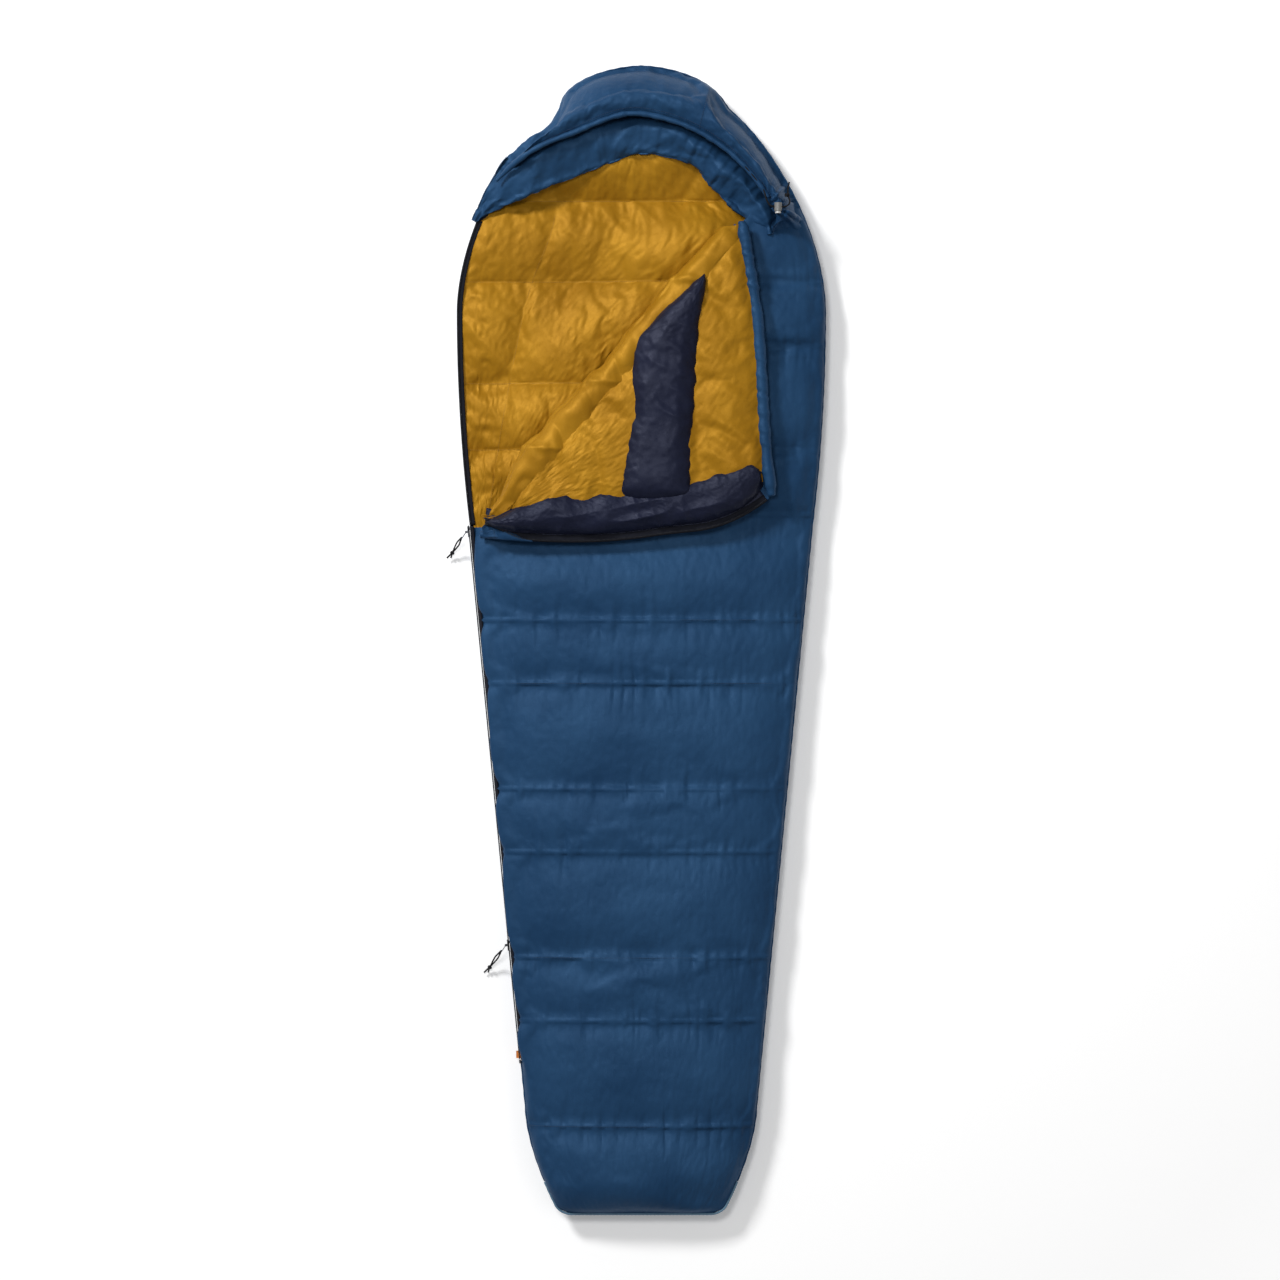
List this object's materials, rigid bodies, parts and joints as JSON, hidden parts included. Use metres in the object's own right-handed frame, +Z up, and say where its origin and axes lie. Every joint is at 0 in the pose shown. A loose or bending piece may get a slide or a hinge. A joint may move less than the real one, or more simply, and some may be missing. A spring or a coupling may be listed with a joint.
{
  "type": "sleeping bag",
  "caption": "Hooded, tapered down sleeping bag laid open, with a folded chest corner, draft collar, draft tube, side zip with sliders and cord pulls, and a hood drawcord with lock.",
  "frame": {"origin": "on the underside of the back layer, on the centreline, at mid length between the foot and the crown of the hood", "axes": "+X to the wearer's left, the side with no opening; +Y to the hood; +Z up, out of the ground"},
  "size_m": [0.7037, 2.1326, 0.144],
  "materials": {
    "shell": "calendered ripstop nylon, soft sheen",
    "liner": "smooth gold nylon taffeta",
    "navy_fabric": "smooth navy nylon taffeta",
    "down": "loose white down",
    "baffle_mesh": "fine no-see-through mesh",
    "piping": "woven piping",
    "zip_tape": "woven polyester tape",
    "zip_coil": "nylon coil",
    "hardware": "dark painted zinc",
    "cord": "braided cord",
    "lock_body": "grey moulded plastic",
    "lock_button": "light grey moulded plastic",
    "spring_steel": "spring wire",
    "loop_ribbon": "woven ribbon"
  },
  "bodies": {
    "bag": {"back_shell": "shell", "back_down_fill": "down", "back_baffle_walls": "baffle_mesh", "back_liner": "liner", "top_shell": "shell", "top_down_fill": "down", "top_baffle_walls": "baffle_mesh", "top_liner": "liner", "footbox_shell": "shell", "footbox_down_fill": "down", "footbox_liner": "liner", "footbox_piping": "piping", "zip_tape_back": "zip_tape", "zip_tape_top": "zip_tape", "zip_coil_back": "zip_coil", "zip_coil_top": "zip_coil", "zip_bottom_stop": "hardware", "zip_facing_back": "liner", "side_loop_tab": "loop_ribbon"},
    "hood": {"hood_shell": "shell", "hood_down_fill": "down", "hood_baffle_wall": "baffle_mesh", "hood_liner": "liner", "hood_crown_fill": "down", "face_muff_cover": "shell", "face_muff_fill": "down", "drawcord_channel": "shell", "hood_drawcord": "cord", "zip_tape_hood": "zip_tape", "zip_top_stop": "hardware"},
    "flap": {"flap_shell": "shell", "flap_down_fill": "down", "flap_baffle_walls": "baffle_mesh", "flap_liner": "liner", "draft_collar_cover": "navy_fabric", "draft_collar_fill": "down", "draft_tube_cover": "navy_fabric", "draft_tube_fill": "down", "chest_edge_binding": "shell", "flap_zip_facing": "navy_fabric", "zip_tape_flap": "zip_tape", "zip_coil_flap": "zip_coil"},
    "cord_lock": {"cord_lock_barrel": "lock_body", "cord_lock_spring": "spring_steel"},
    "cord_lock_button": {"cord_lock_button": "lock_button"},
    "upper_slider": {"upper_slider": "hardware"},
    "upper_pull": {"upper_pull_tab": "hardware", "upper_pull_cord": "cord"},
    "lower_slider": {"lower_slider": "hardware"},
    "lower_pull": {"lower_pull_tab": "hardware", "lower_pull_cord": "cord"}
  },
  "joints": [
    {"name": "flap_fold", "type": "hinge", "parent": "bag", "child": "flap", "pos_m": [-0.2926, 0.213, 0.0965], "axis": [-0.6485, -0.7612, 0], "range_deg": [0, 179.6]},
    {"name": "hood_lift", "type": "hinge", "parent": "bag", "child": "hood", "pos_m": [0, 0.787, 0.042], "axis": [1, 0, 0], "range_deg": [0, 30]},
    {"name": "upper_slider_run", "type": "slide", "parent": "bag", "child": "upper_slider", "axis": [0.0956, -0.9954, 0], "range_m": [0, 0.34]},
    {"name": "upper_pull_turn", "type": "hinge", "parent": "upper_slider", "child": "upper_pull", "pos_m": [-0.32442, 0.20033, 0.047], "axis": [0, 0, 1], "range_deg": [-120, 35]},
    {"name": "lower_slider_run", "type": "slide", "parent": "bag", "child": "lower_slider", "axis": [0.0956, -0.9954, 0], "range_m": [-0.33, 0.19]},
    {"name": "lower_pull_turn", "type": "hinge", "parent": "lower_slider", "child": "lower_pull", "pos_m": [-0.25081, -0.56615, 0.047], "axis": [0, 0, 1], "range_deg": [-60, 35]},
    {"name": "cord_lock_run", "type": "slide", "parent": "hood", "child": "cord_lock", "axis": [1, 0, 0], "range_m": [0, 0.008]},
    {"name": "lock_button_press", "type": "slide", "parent": "cord_lock", "child": "cord_lock_button", "axis": [0, 1, 0], "range_m": [0, 0.002]}
  ]
}
